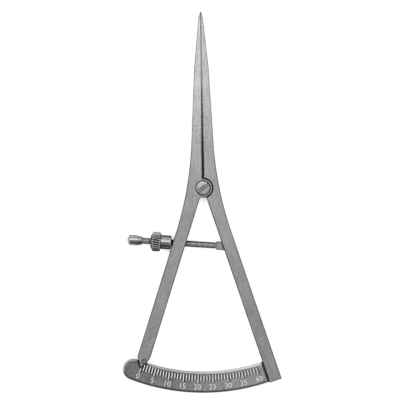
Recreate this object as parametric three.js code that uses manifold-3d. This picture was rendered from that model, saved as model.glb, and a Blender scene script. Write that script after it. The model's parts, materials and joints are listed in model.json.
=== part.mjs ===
// Surgical caliper with straight points: two arms that turn on a half-lapped screw joint, a curved
// scale between their legs, and a thumb nut on a swinging screw spindle that sets the opening.
// Millimetres. +Y runs to the points and +Z out of the face with the scale. The origin lies on the
// axis of the joint, in the plane of the arms' back faces. The points are shut, at reading zero.
import * as THREE from 'three';
import { mergeVertices } from 'three/addons/utils/BufferGeometryUtils.js';
import Module from 'manifold-3d';

const wasm = await Module();
wasm.setup();

// What the caliper measures
const fullReading = 40;
const pointReach = 65.6;
const spareTurn = THREE.MathUtils.degToRad(0.66);

// Arms
const armThickness = 4;
const pointThickness = 1;
const legWidth = 4.7;
const edgeRound = 0.15;
const pointWidth = 0.62;
const pointRound = 0.4;
const kneeReach = 44.5;
const kneeWidth = 2.65;
const hipRun = 17;
const thinningStart = 8;
const thinningBend = 34;

// Slit between the blades
const faceGap = 0.02;
const faceLength = 14;
const slitHalf = 0.23;
const slitFoot = 20;

// Half-lapped joint
const bossRadius = 3.5;
const pocketGap = 0.38;
const lapGap = 0.06;
const crotchRound = 0.8;
const crotchRelief = 1;

// Pivot screw
const headRadius = 2.62;
const headHeight = 1;
const headDome = 0.3;
const headEdge = 0.12;
const seatGap = 0.24;
const domeShares = [0.8, 0.6, 0.4, 0.2];
const shankRadius = 1.5;
const threadRadius = 1.3;
const runningGap = 0.05;
const driverSlotWidth = 0.8;
const driverSlotDepth = 0.7;
const driverSlotAngle = THREE.MathUtils.degToRad(33);

// Curved scale
const scaleInner = 68.4;
const scaleWidth = 7.83;
const scaleThickness = 1.2;
const scaleEdgeRun = 0.7;
const scaleEdgeDrop = 0.4;
const scaleTail = THREE.MathUtils.degToRad(21.8);
const scaleWall = 0.7;
const seatPlay = 0.04;
const rivetRadius = 0.75;

// Forked end of the left leg, with its pointer
const forkPlay = 0.12;
const forkDepth = 1.6;
const pointerReach = 2.5;
const pointerRoot = 0.6;
const pointerHalf = 0.85;
const pointerShoulder = 1.25;
const cheekRun = 3;
const cheekFullness = 0.4;
const forkPinRadius = 0.4;
const forkPinHead = 0.8;
const forkPinOffset = 0.54;
const forkPinGap = 0.15;

// Square end of the right leg
const heelOverhang = 0.07;

// Spindle, on a swivel block in the right leg
const hingeReach = 23.9;
const spindleRise = THREE.MathUtils.degToRad(4.55);
const swingShare = 0.5;
const rodRadius = 1.2;
const rodEnd = 36.6;
const spigotRadius = 0.7;
const spigotLength = 1.6;
const blockReach = 5.25;
const blockHalf = 1.53;
const blockThickness = 2.4;
const blockCorner = 0.9;
const blockGap = 0.25;
const hingePinRadius = 0.6;
const slotPlay = 0.15;

// Thumb nut, its sleeve and the end cap
const sleeveRadius = 2.59;
const sleeveLength = 3.86;
const sleeveEdge = 0.15;
const nutRadius = 3.62;
const nutLength = 3.62;
const nutEdge = 0.4;
const nutConeRun = 0.8;
const nutConeDrop = 1.5;
const nutTravelPlay = 0.1;
const faceToFace = 0.05;
const ridgeCount = 32;
const ridgeDepth = 0.28;
const ridgeTwist = THREE.MathUtils.degToRad(10.5);
const twistSteps = 3;
const capStart = 32.7;
const capLength = 5.5;
const capRadius = 1.88;
const capNeck = 1.47;
const capTaper = 2.3;
const capCone = 0.75;
const capEdge = 0.2;

// Fineness of the round shapes
const roundSteps = 48;
const curveSteps = 14;
const overrun = 1;
const mergeDistance = 1e-5;

// Places that follow from the sizes
const stopAngle = 2 * Math.asin(fullReading / (2 * pointReach));
const legAngle = (stopAngle + spareTurn) / 2;
const midPlane = armThickness / 2;
const lapTop = midPlane + lapGap / 2;
const lapFloor = midPlane - lapGap / 2;
const pocketRadius = bossRadius + pocketGap;
const scaleOuter = scaleInner + scaleWidth;
const scaleMiddle = scaleInner + scaleWidth / 2;
const heelReach = scaleOuter + heelOverhang;
const slotHeight = 2 * (rodRadius + slotPlay);
const LEFT = -1;
const RIGHT = 1;

// A point on a leg: along it from the joint's axis, and out from its inner edge
function onLeg(side, along, out, turn = 0) {
  const lean = legAngle + side * turn;
  const across = along * Math.sin(lean) + out * Math.cos(lean);
  return new THREE.Vector2(side * across, out * Math.sin(lean) - along * Math.cos(lean));
}

function polar(radius, angle) {
  return new THREE.Vector2(radius * Math.sin(angle), -radius * Math.cos(angle));
}

function outline(points) {
  return new THREE.Shape(points);
}

function ascending(one, other) {
  return [Math.min(one, other), Math.max(one, other)];
}

// Solid from a closed geometry, without the faces that fall together on an axis
function toSolid(geometry) {
  const bare = new THREE.BufferGeometry();
  bare.setAttribute('position', geometry.getAttribute('position').clone());
  bare.setIndex(geometry.index);
  const merged = mergeVertices(bare, mergeDistance);
  const corners = merged.index.array;
  const kept = [];
  for (let i = 0; i < corners.length; i += 3) {
    const [a, b, c] = corners.slice(i, i + 3);
    if (a !== b && b !== c && c !== a) kept.push(a, b, c);
  }
  const vertProperties = new Float32Array(merged.getAttribute('position').array);
  return new wasm.Manifold(
    new wasm.Mesh({ numProp: 3, vertProperties, triVerts: new Uint32Array(kept) }),
  );
}

function toGeometry(solid) {
  const { vertProperties, triVerts } = solid.getMesh();
  const geometry = new THREE.BufferGeometry();
  geometry.setAttribute('position', new THREE.BufferAttribute(vertProperties, 3));
  geometry.setIndex(new THREE.BufferAttribute(triVerts, 1));
  geometry.computeVertexNormals();
  return geometry;
}

// A flat shape raised from one height to another, with its rims cut back by run and drop
function slab(shape, low, high, run = 0, drop = run) {
  const geometry = new THREE.ExtrudeGeometry(shape, {
    depth: high - low - 2 * drop,
    curveSegments: curveSteps,
    bevelEnabled: run > 0,
    bevelSize: run,
    bevelOffset: -run,
    bevelThickness: drop,
    bevelSegments: 1,
  });
  return geometry.translate(0, 0, low + drop);
}

// A turned form about Z, from a list of radius and height
function turned(profile) {
  const points = profile.map(([radius, height]) => new THREE.Vector2(radius, height));
  return new THREE.LatheGeometry(points, roundSteps).rotateX(Math.PI / 2);
}

function post(radius, low, high) {
  return turned([[0, low], [radius, low], [radius, high], [0, high]]);
}

function at(geometry, place) {
  return geometry.translate(place.x, place.y, 0);
}

function cut(solid, ...tools) {
  return tools.reduce((left, tool) => left.subtract(toSolid(tool)), solid);
}

function join(solid, ...others) {
  return others.reduce((sum, other) => sum.add(toSolid(other)), solid);
}

// Spindle line: it starts at the hinge in the right leg and rises towards the left. As the legs close
// it swings down by a share of their turn, and so stays nearly square to both of them.
const hingePlace = onLeg(RIGHT, Math.sqrt(hingeReach ** 2 - (legWidth / 2) ** 2), legWidth / 2);

function spindleDirection(turn) {
  const rise = spindleRise - swingShare * turn;
  return new THREE.Vector2(-Math.cos(rise), Math.sin(rise));
}

// Where a line beside the spindle crosses a line along the left leg, from the hinge and along the leg
function meetLeftLeg(out, offset, turn) {
  const direction = spindleDirection(turn);
  const aside = new THREE.Vector2(-direction.y, direction.x).multiplyScalar(offset);
  const start = hingePlace.clone().add(aside);
  const foot = onLeg(LEFT, 0, out, turn);
  const along = onLeg(LEFT, 1, 0, turn);
  const lean = direction.x * along.y - direction.y * along.x;
  const gap = foot.clone().sub(start);
  return {
    fromHinge: (gap.x * along.y - gap.y * along.x) / lean,
    along: (gap.x * direction.y - gap.y * direction.x) / lean,
  };
}

// The sleeve's inner face just clears the leg's outer edge while the points are shut
const sleeveCorners = [-sleeveRadius, sleeveRadius].map((offset) => meetLeftLeg(legWidth, offset, 0));
const sleeveStart = Math.max(...sleeveCorners.map((corner) => corner.fromHinge)) + nutTravelPlay;

// The slot in the left leg holds the rod, and near the full reading the block, whose square edges
// need more room at the slot's round ends
function slotSpan() {
  const roundHalf = slotHeight / 2;
  const squareRun = roundHalf - Math.sqrt(roundHalf ** 2 - (blockThickness / 2) ** 2);
  const turns = [...Array(roundSteps + 1).keys()].map((step) => (stopAngle * step) / roundSteps);
  const crossings = turns.flatMap((turn) =>
    [0, legWidth].flatMap((out) =>
      [LEFT, RIGHT].map((side) => {
        const rod = meetLeftLeg(out, side * rodRadius, turn);
        const block = meetLeftLeg(out, side * blockHalf, turn);
        return block.fromHinge < blockReach ? block.along + side * squareRun : rod.along;
      }),
    ),
  );
  return [Math.min(...crossings) - slotPlay, Math.max(...crossings) + slotPlay];
}

// Blade and leg share one outline on each side, apart from the end of the leg
function armShape(side, legEnd) {
  const waist = legWidth / Math.cos(legAngle);
  const hipTop = waist + ((kneeWidth - waist) * hipRun) / kneeReach;
  const hipFoot = onLeg(side, hipRun + legWidth * Math.tan(legAngle), legWidth);
  const shape = new THREE.Shape();
  shape.moveTo(side * faceGap, pointReach);
  shape.lineTo(side * (pointWidth - pointRound), pointReach);
  shape.quadraticCurveTo(side * pointWidth, pointReach, side * pointWidth, pointReach - pointRound);
  shape.lineTo(side * kneeWidth, kneeReach);
  shape.lineTo(side * hipTop, hipRun);
  shape.quadraticCurveTo(side * waist, 0, hipFoot.x, hipFoot.y);
  for (const corner of legEnd) shape.lineTo(corner.x, corner.y);
  shape.lineTo(side * slitHalf, -slitHalf / Math.tan(legAngle));
  shape.lineTo(side * slitHalf, slitFoot);
  shape.lineTo(side * faceGap, pointReach - faceLength);
  return shape;
}

// Side view that thins both faces of the blade towards the point
function sideShape() {
  const bendMiddle = thinningStart + thinningBend / 2;
  const bendEnd = thinningStart + thinningBend;
  const slope = (armThickness - pointThickness) / 2 / (pointReach - bendMiddle);
  const tip = pointThickness / 2 - slope * overrun;
  const drop = midPlane - (slope * thinningBend) / 2;
  const shape = new THREE.Shape();
  shape.moveTo(-heelReach - overrun, midPlane - armThickness);
  shape.lineTo(thinningStart - overrun, midPlane - armThickness);
  shape.lineTo(thinningStart - overrun, 0);
  shape.lineTo(thinningStart, 0);
  shape.quadraticCurveTo(bendMiddle, 0, bendEnd, midPlane - drop);
  shape.lineTo(pointReach + overrun, midPlane - tip);
  shape.lineTo(pointReach + overrun, midPlane + tip);
  shape.lineTo(bendEnd, midPlane + drop);
  shape.quadraticCurveTo(bendMiddle, armThickness, thinningStart, armThickness);
  shape.lineTo(thinningStart - overrun, armThickness);
  shape.lineTo(thinningStart - overrun, midPlane + armThickness);
  shape.lineTo(-heelReach - overrun, midPlane + armThickness);
  return shape;
}

function sideSlab() {
  const reach = heelReach + overrun;
  const upright = new THREE.Matrix4().makeBasis(
    new THREE.Vector3(0, 1, 0),
    new THREE.Vector3(0, 0, 1),
    new THREE.Vector3(1, 0, 0),
  );
  return slab(sideShape(), -reach, reach).applyMatrix4(upright);
}

// The hollow corner where a boss runs into its own leg, and the same corner cleared on the other arm
function crotchFillet(side) {
  const legStart = bossRadius + 2 * crotchRound;
  const run = new THREE.QuadraticBezierCurve(
    onLeg(side, bossRadius + crotchRound, 0),
    onLeg(side, bossRadius, 0),
    polar(bossRadius, side * (legAngle - crotchRound / bossRadius)),
  );
  return outline([
    onLeg(side, legStart, crotchRound),
    onLeg(side, legStart, 0),
    ...run.getPoints(curveSteps / 2),
    polar(bossRadius, side * (legAngle - (2 * crotchRound) / bossRadius)),
    onLeg(side, bossRadius / 2, crotchRound),
  ]);
}

function crotchRelievedCorner(side) {
  const edge = onLeg(side, pocketRadius + crotchRelief, 0);
  const corner = onLeg(side, pocketRadius, 0);
  const round = polar(pocketRadius, side * (legAngle + crotchRelief / pocketRadius));
  const inside = onLeg(side, bossRadius, 0);
  const outside = onLeg(side, pocketRadius, -crotchRelief);
  const shape = new THREE.Shape();
  shape.moveTo(edge.x, edge.y);
  shape.quadraticCurveTo(corner.x, corner.y, round.x, round.y);
  shape.lineTo(inside.x, inside.y);
  shape.lineTo(outside.x, outside.y);
  return shape;
}

// Half of an arm's joint: its own boss in one layer, the other arm's pocket in the other layer. The
// fillet is chamfered like the boss, and the pocket's cut leaves its lapped face flat.
function lapped(body, side, openFace, lappedFace) {
  const inward = Math.sign(lappedFace - openFace);
  const profile = [
    [0, lappedFace],
    [bossRadius, lappedFace],
    [bossRadius, openFace + inward * edgeRound],
    [bossRadius - edgeRound, openFace],
    [0, openFace],
  ];
  const upward = openFace > lappedFace ? profile : profile.reverse();
  const [filletLow, filletHigh] = ascending(openFace, lappedFace + inward * edgeRound);
  const [pocketLow, pocketHigh] = ascending(lappedFace, lappedFace + inward * armThickness);
  const pocketed = cut(
    join(body, slab(crotchFillet(side), filletLow, filletHigh, edgeRound)),
    post(pocketRadius, pocketLow, pocketHigh),
    slab(crotchRelievedCorner(side), pocketLow, pocketHigh),
  );
  return join(pocketed, turned(upward));
}

function armBody(side, legEnd) {
  return toSolid(slab(armShape(side, legEnd), 0, armThickness, edgeRound)).intersect(toSolid(sideSlab()));
}

// Left arm: front boss with the screw's seat, slot for the spindle, fork and pointer at the scale
const forkPinPlace = onLeg(
  LEFT,
  scaleInner - forkPinGap - forkPinRadius,
  legWidth / 2 - forkPinOffset,
);

// The leg's nose: straight to the pointer outside, a full round cheek inside
function leftLegEnd() {
  const centre = legWidth / 2;
  const cheek = new THREE.QuadraticBezierCurve(
    onLeg(LEFT, scaleInner + pointerRoot, centre - pointerHalf),
    onLeg(LEFT, scaleInner, cheekFullness),
    onLeg(LEFT, scaleInner - cheekRun, 0),
  );
  return [
    onLeg(LEFT, scaleInner - pointerShoulder, legWidth),
    onLeg(LEFT, scaleInner + pointerRoot, centre + pointerHalf),
    onLeg(LEFT, scaleInner + pointerReach, centre),
    ...cheek.getPoints(curveSteps / 2),
  ];
}

function forkSlot() {
  const reach = scaleInner - forkDepth;
  return outline([
    onLeg(LEFT, reach, -overrun),
    onLeg(LEFT, reach, legWidth + overrun),
    onLeg(LEFT, heelReach + overrun, legWidth + overrun),
    onLeg(LEFT, heelReach + overrun, -overrun),
  ]);
}

// Slot with round ends, cut sideways through the left leg
function spindleSlot() {
  const [near, far] = slotSpan();
  const half = slotHeight / 2;
  const shape = new THREE.Shape();
  shape.absarc(near + half, 0, half, Math.PI / 2, (3 * Math.PI) / 2);
  shape.absarc(far - half, 0, half, -Math.PI / 2, Math.PI / 2);
  const out = onLeg(LEFT, 0, 1);
  const along = onLeg(LEFT, 1, 0);
  const across = new THREE.Matrix4().makeBasis(
    new THREE.Vector3(along.x, along.y, 0),
    new THREE.Vector3(0, 0, 1),
    new THREE.Vector3(out.x, out.y, 0),
  );
  across.setPosition(0, 0, midPlane);
  return slab(shape, -overrun, legWidth + overrun).applyMatrix4(across);
}

function leftArm() {
  const body = lapped(armBody(LEFT, leftLegEnd()), LEFT, armThickness, lapTop);
  const half = scaleThickness / 2 + forkPlay;
  const headDrop = forkPinHead - forkPinRadius;
  const pinHole = turned([
    [0, -overrun],
    [forkPinHead + seatPlay, -overrun],
    [forkPinHead + seatPlay, 0],
    [forkPinRadius + seatPlay, headDrop],
    [forkPinRadius + seatPlay, armThickness - headDrop],
    [forkPinHead + seatPlay, armThickness],
    [forkPinHead + seatPlay, armThickness + overrun],
    [0, armThickness + overrun],
  ]);
  return cut(
    body,
    post(headRadius + seatGap, armThickness - headHeight, armThickness + overrun),
    post(shankRadius + runningGap, 0, armThickness),
    slab(forkSlot(), midPlane - half, midPlane + half),
    at(pinHole, forkPinPlace),
    spindleSlot(),
  );
}

// Right arm: back boss for the screw's thread, slots for the swivel block and for the scale
const rivetPlace = polar(scaleMiddle, legAngle + Math.asin(legWidth / 2 / scaleMiddle));

function rightLegEnd() {
  return [
    onLeg(RIGHT, heelReach - edgeRound, legWidth),
    onLeg(RIGHT, heelReach, legWidth - edgeRound),
    onLeg(RIGHT, heelReach, edgeRound),
    onLeg(RIGHT, heelReach - edgeRound, 0),
  ];
}

// Slot with a round end about the hinge pin, open to the inside of the leg and wide enough below for
// the block to swing
function blockSlot() {
  const radius = blockHalf + blockGap;
  const reach = blockReach + radius;
  const swing = swingShare * stopAngle;
  const swung = new THREE.Vector2(reach, radius).rotateAround(new THREE.Vector2(), swing);
  const shape = new THREE.Shape();
  shape.absarc(0, 0, radius, Math.PI / 2 + swing, (3 * Math.PI) / 2);
  shape.lineTo(reach, -radius);
  shape.lineTo(swung.x, swung.y);
  const half = slotHeight / 2;
  const geometry = slab(shape, midPlane - half, midPlane + half);
  return at(geometry.rotateZ(Math.PI - spindleRise), hingePlace);
}

function scaleSlot() {
  const along = scaleInner - seatPlay;
  return outline([
    onLeg(RIGHT, along * Math.cos(Math.asin(legWidth / along)), -overrun),
    onLeg(RIGHT, along * Math.cos(Math.asin(legWidth / along)), legWidth - scaleWall),
    onLeg(RIGHT, heelReach + overrun, legWidth - scaleWall),
    onLeg(RIGHT, heelReach + overrun, -overrun),
  ]);
}

function rightArm() {
  const body = lapped(armBody(RIGHT, rightLegEnd()), RIGHT, 0, lapFloor);
  const half = scaleThickness / 2 + seatPlay;
  return cut(
    body,
    post(threadRadius + runningGap, -overrun, armThickness),
    blockSlot(),
    at(post(hingePinRadius + seatPlay, -overrun, armThickness + overrun), hingePlace),
    slab(scaleSlot(), midPlane - half, midPlane + half),
    at(post(rivetRadius + seatPlay, -overrun, armThickness + overrun), rivetPlace),
  );
}

// Screw that holds the halves: cheese head with a domed face, plain shank, thread in the back boss
function pivotScrew() {
  const seat = armThickness - headHeight + faceToFace;
  const rim = armThickness + faceToFace;
  const body = toSolid(turned([
    [0, 0],
    [threadRadius, 0],
    [threadRadius, lapFloor + faceToFace],
    [shankRadius, lapFloor + faceToFace],
    [shankRadius, seat],
    [headRadius, seat],
    [headRadius, rim - headEdge],
    [headRadius - headEdge, rim],
    ...domeShares.map((share) => [headRadius * share, rim + headDome * (1 - share ** 2)]),
    [0, rim + headDome],
  ]));
  const slot = new THREE.BoxGeometry(2 * headRadius + overrun, driverSlotWidth, driverSlotDepth + overrun);
  slot.translate(0, 0, rim + headDome - driverSlotDepth + (driverSlotDepth + overrun) / 2);
  return cut(body, slot.rotateZ(driverSlotAngle));
}

// Curved plate about the joint's axis, with a round tail and its buried end inside the right leg
function scaleArc() {
  const buried = legAngle + Math.asin((legWidth - scaleWall - 2 * seatPlay) / scaleOuter);
  const tailCentre = polar(scaleMiddle, -scaleTail);
  const shape = new THREE.Shape();
  const down = -Math.PI / 2;
  const tail = down - scaleTail;
  shape.absarc(0, 0, scaleOuter, down + buried, tail, true);
  shape.absarc(tailCentre.x, tailCentre.y, scaleWidth / 2, tail, tail - Math.PI, true);
  shape.absarc(0, 0, scaleInner, tail, down + buried, false);
  const low = midPlane - scaleThickness / 2;
  const high = midPlane + scaleThickness / 2;
  const plate = toSolid(slab(shape, low, high, scaleEdgeRun, scaleEdgeDrop));
  return cut(plate, at(post(rivetRadius + seatPlay, low - overrun, high + overrun), rivetPlace));
}

function scaleRivet() {
  return toSolid(at(post(rivetRadius, 0, armThickness), rivetPlace));
}

function forkPin() {
  const headDrop = forkPinHead - forkPinRadius;
  return toSolid(at(turned([
    [0, 0],
    [forkPinHead, 0],
    [forkPinRadius, headDrop],
    [forkPinRadius, armThickness - headDrop],
    [forkPinHead, armThickness],
    [0, armThickness],
  ]), forkPinPlace));
}

function hingePin() {
  return toSolid(at(post(hingePinRadius, 0, armThickness), hingePlace));
}

// The spindle's pieces are made about Z from the hinge and laid along its line with the group
function swivelBlock() {
  const shape = new THREE.Shape();
  shape.absarc(0, 0, blockHalf, Math.PI / 2, (3 * Math.PI) / 2);
  shape.lineTo(blockReach - blockCorner / 2, -blockHalf);
  shape.lineTo(blockReach, -blockHalf + blockCorner / 2);
  shape.lineTo(blockReach, blockHalf - blockCorner);
  shape.quadraticCurveTo(blockReach, blockHalf, blockReach - blockCorner, blockHalf);
  const block = toSolid(slab(shape, -blockThickness / 2, blockThickness / 2));
  const boreEnd = blockReach - spigotLength - runningGap;
  const bore = post(spigotRadius + runningGap, boreEnd, blockReach + overrun);
  return cut(
    block,
    post(hingePinRadius + runningGap, -blockThickness, blockThickness),
    bore.rotateY(Math.PI / 2),
  );
}

function spindleRod() {
  return toSolid(turned([
    [0, blockReach - spigotLength],
    [spigotRadius, blockReach - spigotLength],
    [spigotRadius, blockReach + faceToFace],
    [rodRadius, blockReach + faceToFace],
    [rodRadius, rodEnd],
    [0, rodEnd],
  ]));
}

function nutSleeve() {
  const bore = rodRadius + runningGap;
  const end = sleeveStart + sleeveLength;
  return toSolid(turned([
    [bore, sleeveStart],
    [sleeveRadius - sleeveEdge, sleeveStart],
    [sleeveRadius, sleeveStart + sleeveEdge],
    [sleeveRadius, end],
    [bore, end],
    [bore, sleeveStart],
  ]));
}

// Ridged wheel: a star raised with a twist, its rims turned off, the outer one to a long cone
function thumbNut() {
  const start = sleeveStart + sleeveLength + faceToFace;
  const end = start + nutLength;
  const points = [];
  for (let ridge = 0; ridge < ridgeCount; ridge += 1) {
    const angle = (ridge / ridgeCount) * 2 * Math.PI;
    points.push(polar(nutRadius, angle), polar(nutRadius - ridgeDepth, angle + Math.PI / ridgeCount));
  }
  const star = new THREE.ExtrudeGeometry(outline(points), {
    depth: nutLength,
    steps: twistSteps,
    bevelEnabled: false,
  });
  const place = star.getAttribute('position');
  const corner = new THREE.Vector3();
  const axis = new THREE.Vector3(0, 0, 1);
  for (let i = 0; i < place.count; i += 1) {
    corner.fromBufferAttribute(place, i);
    corner.applyAxisAngle(axis, (ridgeTwist * corner.z) / nutLength);
    place.setXYZ(i, corner.x, corner.y, corner.z + start);
  }
  const envelope = turned([
    [0, start],
    [nutRadius - nutEdge, start],
    [nutRadius, start + nutEdge],
    [nutRadius, end - nutConeRun],
    [nutRadius - nutConeDrop, end],
    [0, end],
  ]);
  const wheel = toSolid(star).intersect(toSolid(envelope));
  return cut(wheel, post(rodRadius + runningGap, start - overrun, end + overrun));
}

function endCap() {
  const end = capStart + capLength;
  const bore = rodRadius + runningGap;
  return toSolid(turned([
    [0, rodEnd + runningGap],
    [bore, rodEnd + runningGap],
    [bore, capStart],
    [capNeck, capStart],
    [capRadius, capStart + capTaper],
    [capRadius, end - capCone - capEdge],
    [capRadius - capEdge, end - capCone],
    [0, end],
  ]));
}

// Steel finishes
const satin = { color: 0x9c9ea0, roughness: 0.42, metalness: 0.9 };
const bright = { color: 0xc2c4c6, roughness: 0.22, metalness: 1 };
const dull = { color: 0x86888a, roughness: 0.5, metalness: 0.85 };

function piece(name, solid, finish) {
  const mesh = new THREE.Mesh(toGeometry(solid), new THREE.MeshStandardMaterial(finish));
  mesh.name = name;
  return mesh;
}

const spindle = new THREE.Group();
spindle.position.set(hingePlace.x, hingePlace.y, midPlane);
spindle.rotation.z = Math.PI - spindleRise;

const block = piece('swivel_block', swivelBlock(), satin);
spindle.add(block);
for (const [name, solid, finish] of [
  ['spindle_rod', spindleRod(), dull],
  ['nut_sleeve', nutSleeve(), bright],
  ['thumb_nut', thumbNut(), bright],
  ['end_cap', endCap(), bright],
]) {
  const mesh = piece(name, solid, finish);
  mesh.rotation.y = Math.PI / 2;
  spindle.add(mesh);
}

const group = new THREE.Group();
group.add(
  piece('left_arm', leftArm(), satin),
  piece('right_arm', rightArm(), satin),
  piece('pivot_screw', pivotScrew(), bright),
  piece('scale_arc', scaleArc(), dull),
  piece('scale_rivet', scaleRivet(), satin),
  piece('fork_pin', forkPin(), satin),
  piece('hinge_pin', hingePin(), satin),
  spindle,
);

export default group;
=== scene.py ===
# A straight surgical caliper in stainless steel, lying flat with its points shut.
# The pieces come in the order in which the tool is put together, then the table, light and camera.
import json
import math

import bmesh
import bpy
from mathutils import Matrix, Vector


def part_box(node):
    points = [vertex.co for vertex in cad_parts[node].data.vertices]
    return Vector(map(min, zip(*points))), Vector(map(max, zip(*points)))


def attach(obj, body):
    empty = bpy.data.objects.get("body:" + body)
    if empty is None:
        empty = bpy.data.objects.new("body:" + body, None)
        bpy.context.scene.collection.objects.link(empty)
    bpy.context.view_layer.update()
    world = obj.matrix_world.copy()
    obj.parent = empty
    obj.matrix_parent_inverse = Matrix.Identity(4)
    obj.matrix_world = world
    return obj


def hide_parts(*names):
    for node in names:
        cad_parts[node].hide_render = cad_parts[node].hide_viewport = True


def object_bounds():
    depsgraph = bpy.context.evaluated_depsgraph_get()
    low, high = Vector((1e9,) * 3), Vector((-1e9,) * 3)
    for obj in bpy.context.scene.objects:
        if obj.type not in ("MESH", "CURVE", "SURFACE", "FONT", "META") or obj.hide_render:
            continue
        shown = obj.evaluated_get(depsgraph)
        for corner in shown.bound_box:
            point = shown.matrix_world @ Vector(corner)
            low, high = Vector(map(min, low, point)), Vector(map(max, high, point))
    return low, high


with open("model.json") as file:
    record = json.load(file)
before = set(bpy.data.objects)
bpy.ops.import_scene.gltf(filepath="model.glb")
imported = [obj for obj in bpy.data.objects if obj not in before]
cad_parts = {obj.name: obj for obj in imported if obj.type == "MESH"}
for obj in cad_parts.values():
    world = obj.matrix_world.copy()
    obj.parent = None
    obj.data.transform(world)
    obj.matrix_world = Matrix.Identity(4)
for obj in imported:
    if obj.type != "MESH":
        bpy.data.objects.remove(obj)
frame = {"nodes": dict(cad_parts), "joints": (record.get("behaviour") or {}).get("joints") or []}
cad_low, cad_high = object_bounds()

# The two arms: forged and milled stainless steel, ground lengthwise to a satin finish, with the
# edges broken and the point rounded by hand. Each is one piece from its point, over its half of
# the joint, to the end of its leg.
MM = 0.001
WELD = 0.0008
FLAT_ANGLE = math.radians(0.03)
EDGE_ANGLE = math.radians(28)
LEVEL = 0.95
FACE_SLOT = 0
WALL_SLOT = 1
RIGHT = 1
LEFT = -1
TIP_ROUND_SHARE = 0.85
TIP_CUTS = [math.radians(lean) for lean in (15, 30, 45, 60, 75)]
KNEE_BLEND = 0.014
LEG_SLOPE = 0.3265
LINE_DETAIL = 5.0
LINE_ROUGHNESS = 0.62
PATCH_DETAIL = 3.0
PATCH_SHARE = 0.2
GRAIN_SHARE = 0.4
LINE_SHARE = 0.4
EDGE_SAMPLES = 8
EDGE_LIKENESS = (0.9995, 0.98)
CREVICE_SAMPLES = 12
PAINTED_SHADE_BLACK = (0.01, 0.01, 0.01, 1.0)
RAMP_ENDS = (0.43, 0.57)
ROUNDING_SAMPLES = 6
SCRATCH_DEPTH = 0.00001
GROUND_METALLIC = 0.85
GROUND_RELIEF = 0.25
ARM_EDGE = 0.00015
ARM_GREYS = ((0.45, 0.455, 0.46), (0.65, 0.655, 0.66))
ARM_ROUGHNESS = (0.26, 0.42)
SHADED_EDGE_GREYS = ((0.3, 0.305, 0.31), (0.38, 0.385, 0.39))
EDGE_ROUGHNESS = (0.26, 0.4)
BLADE_LIGHT_RUN = (0.0, 0.03)
RIGHT_BLADE_LIGHT = 1.0
LEFT_BLADE_LIGHT = 1.1
PIN_SURROUND = 0.6
POCKET_SURROUND = 1.9
RIGHT_SPOTS = [
    ("scale_rivet", PIN_SURROUND),
    ("hinge_pin", PIN_SURROUND),
    ("pivot_screw", POCKET_SURROUND),
]
LEFT_SPOTS = [("pivot_screw", PIN_SURROUND)]


def in_millimetres(source):
    """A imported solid's mesh in millimetres, with its flats made whole."""
    mesh = frame["nodes"][source].data.copy()
    mesh.materials.clear()
    mesh.transform(Matrix.Scale(1 / MM, 4))
    work = bmesh.new()
    work.from_mesh(mesh)
    bmesh.ops.remove_doubles(work, verts=work.verts, dist=WELD)
    bmesh.ops.dissolve_limit(
        work, angle_limit=FLAT_ANGLE, verts=work.verts, edges=work.edges
    )
    work.to_mesh(mesh)
    work.free()
    return mesh


def linked(name, data):
    """A new object in the scene."""
    piece = bpy.data.objects.new(name, data)
    bpy.context.scene.collection.objects.link(piece)
    return piece


def settled(piece, place=Matrix.Identity(4)):
    """Applies a piece's modifiers and takes it from millimetres to its place in metres."""
    graph = bpy.context.evaluated_depsgraph_get()
    mesh = bpy.data.meshes.new_from_object(piece.evaluated_get(graph), depsgraph=graph)
    piece.modifiers.clear()
    piece.data = mesh
    mesh.name = piece.name
    mesh.transform(place @ Matrix.Scale(MM, 4))
    mesh.update()


def walls_apart(mesh, wall_slot=WALL_SLOT):
    """Gives the walls and rims of a flat piece their own material, and smooth shading to them only."""
    mesh.shade_smooth()
    mesh.set_sharp_from_angle(angle=EDGE_ANGLE)
    for face in mesh.polygons:
        wall = abs(face.normal.z) < LEVEL
        face.material_index = wall_slot if wall else FACE_SLOT
        face.use_smooth = wall


def round_tip(mesh, side):
    """Cuts the outer corner at the end of a blade to a round, so that both blades end in one point."""
    work = bmesh.new()
    work.from_mesh(mesh)
    end = max(vert.co.y for vert in work.verts)
    outer = max(vert.co.x * side for vert in work.verts if vert.co.y > end - WELD)
    radius = outer * TIP_ROUND_SHARE
    middle = Vector(((outer - radius) * side, end - radius, 0))
    for lean in TIP_CUTS:
        away = Vector((side * math.sin(lean), math.cos(lean), 0))
        every = [*work.verts, *work.edges, *work.faces]
        cut = bmesh.ops.bisect_plane(
            work, geom=every, plane_co=middle + away * radius, plane_no=away, clear_outer=True
        )
        rim = [item for item in cut["geom_cut"] if isinstance(item, bmesh.types.BMEdge)]
        bmesh.ops.holes_fill(work, edges=rim)
    work.to_mesh(mesh)
    work.free()


def node(tree, kind, **settings):
    """A new shader node with its settings."""
    made = tree.nodes.new(kind)
    for name, value in settings.items():
        setattr(made, name, value)
    return made


def feed(tree, socket, value):
    """Sets a socket to a number, or links it to the socket that gives its value."""
    if isinstance(value, (int, float)):
        socket.default_value = value
    else:
        tree.links.new(value, socket)


def group(name, inputs, outputs):
    """An empty shader group with named sockets, and its two end nodes."""
    tree = bpy.data.node_groups.new(name, "ShaderNodeTree")
    for label, kind, value in inputs:
        socket = tree.interface.new_socket(label, in_out="INPUT", socket_type=kind)
        if value is not None:
            socket.default_value = value
    for label, kind in outputs:
        tree.interface.new_socket(label, in_out="OUTPUT", socket_type=kind)
    return tree, tree.nodes.new("NodeGroupInput"), tree.nodes.new("NodeGroupOutput")


def placed(tree, made, **values):
    """A group's node in a material, with its own values."""
    user = node(tree, "ShaderNodeGroup", node_tree=made)
    for label, value in values.items():
        feed(tree, user.inputs[label.replace("_", " ")], value)
    return user.outputs


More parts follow.
